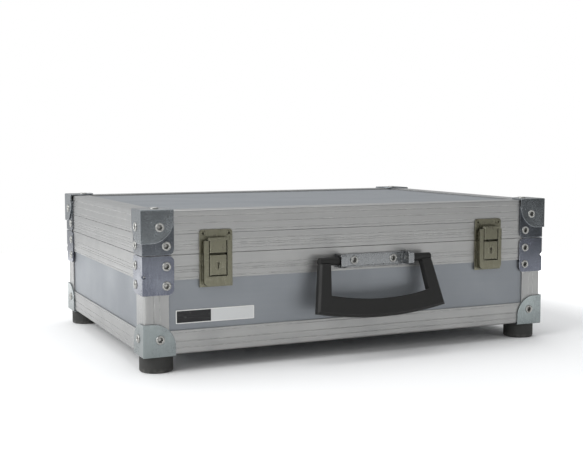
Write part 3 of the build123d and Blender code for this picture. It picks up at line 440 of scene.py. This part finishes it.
def printed_label():
    """Blank two-tone foil plate: dark on the left, pale on the right, with a thin pale border."""
    low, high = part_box("label_plate")
    middle = (Vector(low) + Vector(high)) / 2
    size = Vector(high) - Vector(low)
    paint = Paint("label", (0.010, 0.010, 0.011), 0.30, Specular_IOR_Level=0.3)
    paint.soften_edges(0.2 * MM)
    split = paint.node("ShaderNodeSeparateXYZ", {0: paint.place})
    across = paint.maths("SUBTRACT", split.outputs["X"], low[0] + size.x * LABEL_DARK_PART)
    pale_half = paint.maths("GREATER_THAN", across, 0.0)
    from_side = paint.maths("ABSOLUTE", paint.maths("SUBTRACT", split.outputs["X"], middle.x))
    from_level = paint.maths("ABSOLUTE", paint.maths("SUBTRACT", split.outputs["Z"], middle.z))
    side_border = paint.maths("GREATER_THAN", from_side, size.x / 2 - LABEL_BORDER)
    level_border = paint.maths("GREATER_THAN", from_level, size.z / 2 - LABEL_BORDER)
    border = paint.maths("MAXIMUM", side_border, level_border)
    foil = paint.noise(1800.0, detail=2.0, along="X", stretch=0.05)
    scuffs = paint.noise(220.0, detail=5.0, shift=4.0)
    paint.tint(pale_half, (0.59, 0.60, 0.60))
    paint.tint(border, (0.72, 0.72, 0.70))
    paint.tint(paint.spread(foil, 0.5, 0.8), (0.35, 0.35, 0.35), 0.08)
    paint.tint(paint.spread(scuffs, 0.62, 0.75), (0.30, 0.30, 0.30), 0.15)
    paint.roughen(paint.spread(scuffs, 0.4, 0.7), 0.15)
    paint.roughen(pale_half, 0.08)
    paint.bump(foil, 0.008 * MM, 0.4)
    paint.bump(border, 0.05 * MM, 0.5)
    return paint.material


# ---- pieces -------------------------------------------------------------------------------
SPRING_TURNS = 7
SPRING_STEPS = 20           # points per turn
SPRING_WIRE = 0.5 * MM
SPRING_PITCH = 0.6 * MM
WIRE_SIDES = 8


def coil(name, start, length, radius):
    """Mesh of a round wire wound along X."""
    steps = SPRING_TURNS * SPRING_STEPS
    rise = (length - SPRING_WIRE) / steps
    verts = []
    faces = []
    for step in range(steps + 1):
        angle = 2 * pi * step / SPRING_STEPS
        outward = Vector((0.0, cos(angle), sin(angle)))
        centre = Vector(start) + Vector((SPRING_WIRE / 2 + rise * step, 0.0, 0.0))
        centre += outward * (radius - SPRING_WIRE / 2)
        for side in range(WIRE_SIDES):
            turn = 2 * pi * side / WIRE_SIDES
            offset = outward * cos(turn) + Vector((sin(turn), 0.0, 0.0))
            verts.append(centre + offset * SPRING_WIRE / 2)
    for step in range(steps):
        for side in range(WIRE_SIDES):
            after = (side + 1) % WIRE_SIDES
            here = step * WIRE_SIDES
            ahead = here + WIRE_SIDES
            faces.append((here + side, ahead + side, ahead + after, here + after))
    faces.append(tuple(range(WIRE_SIDES)))
    last = steps * WIRE_SIDES
    faces.append(tuple(reversed(range(last, last + WIRE_SIDES))))
    mesh = bpy.data.meshes.new(name)
    mesh.from_pydata(verts, [], faces)
    mesh.polygons.foreach_set("use_smooth", [True] * len(mesh.polygons))
    mesh.update()
    piece = bpy.data.objects.new(name, mesh)
    bpy.context.collection.objects.link(piece)
    return piece


def add_springs(steel):
    """Wound springs in place of the plain sleeves that stand for them."""
    low, high = (Vector(corner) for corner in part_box("lever_springs"))
    radius = (high.z - low.z) / 2
    length = SPRING_TURNS * SPRING_PITCH
    axis = (low + high) / 2
    for side, x in (("left", low.x), ("right", high.x - length)):
        piece = coil(f"lever_spring_{side}", (x, axis.y, axis.z), length, radius)
        piece.data.materials.append(steel)
        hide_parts("lever_springs")
        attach(piece, "base")


def dress(looks):
    """Gives every CAD node its material."""
    for name, node in frame["nodes"].items():
        for holder in node.material_slots:
            holder.material = looks(name)


def main():
    profiles = {axis: aluminium_profile(axis) for axis in "XYZ"}
    panel = aluminium_panel()
    brace_steel = passivated_steel("pressed_steel_blue", (0.142, 0.152, 0.180), (0.116, 0.123, 0.155),
                                   (0.30, 0.315, 0.345))
    # Painted shade: the top corners get a darker copy of the bottom corners' pressed steel.
    top_steel_shaded = passivated_steel("pressed_steel_neutral_shaded", (0.212, 0.230, 0.241), (0.176, 0.190, 0.201),
                                 (0.32, 0.335, 0.345))
    corner_steel = passivated_steel("pressed_steel_grey", (0.225, 0.252, 0.252), (0.19, 0.212, 0.216),
                                    (0.38, 0.41, 0.41))
    lid_steel = passivated_steel("pressed_steel_dark", (0.118, 0.128, 0.142), (0.098, 0.106, 0.121),
                                 (0.26, 0.275, 0.295))
    steel = bright_steel()
    nickel = lock_nickel()
    by_slot = {
        "panel_aluminium": panel,
        "pressed_steel": brace_steel,
        "rivet_steel": steel,
        "lock_nickel": nickel,
        "bracket_zinc": bright_zinc(),
        "black_plastic": black_plastic(),
        "rubber": rubber(),
        "label": printed_label(),
    }
    slots = {part["node"]: part["material_slot"] for part in frame["record"]["subparts"]}

    def looks(name):
        if name == "corner_posts":
            return profiles["Z"]
        if "profile" in name:
            return profiles["Y" if "left" in name or "right" in name else "X"]
        if name.startswith("bottom_corner"):
            return corner_steel
        if name == "top_corners":
            return top_steel_shaded
        if name == "lid_braces":
            return lid_steel
        return by_slot[slots[name]]

    dress(looks)
    add_springs(steel)
    add_floor()
    add_world()
    for lamp in LAMPS:
        add_area(*lamp)
    add_camera()
    bpy.context.scene.view_settings.view_transform = "Standard"


main()
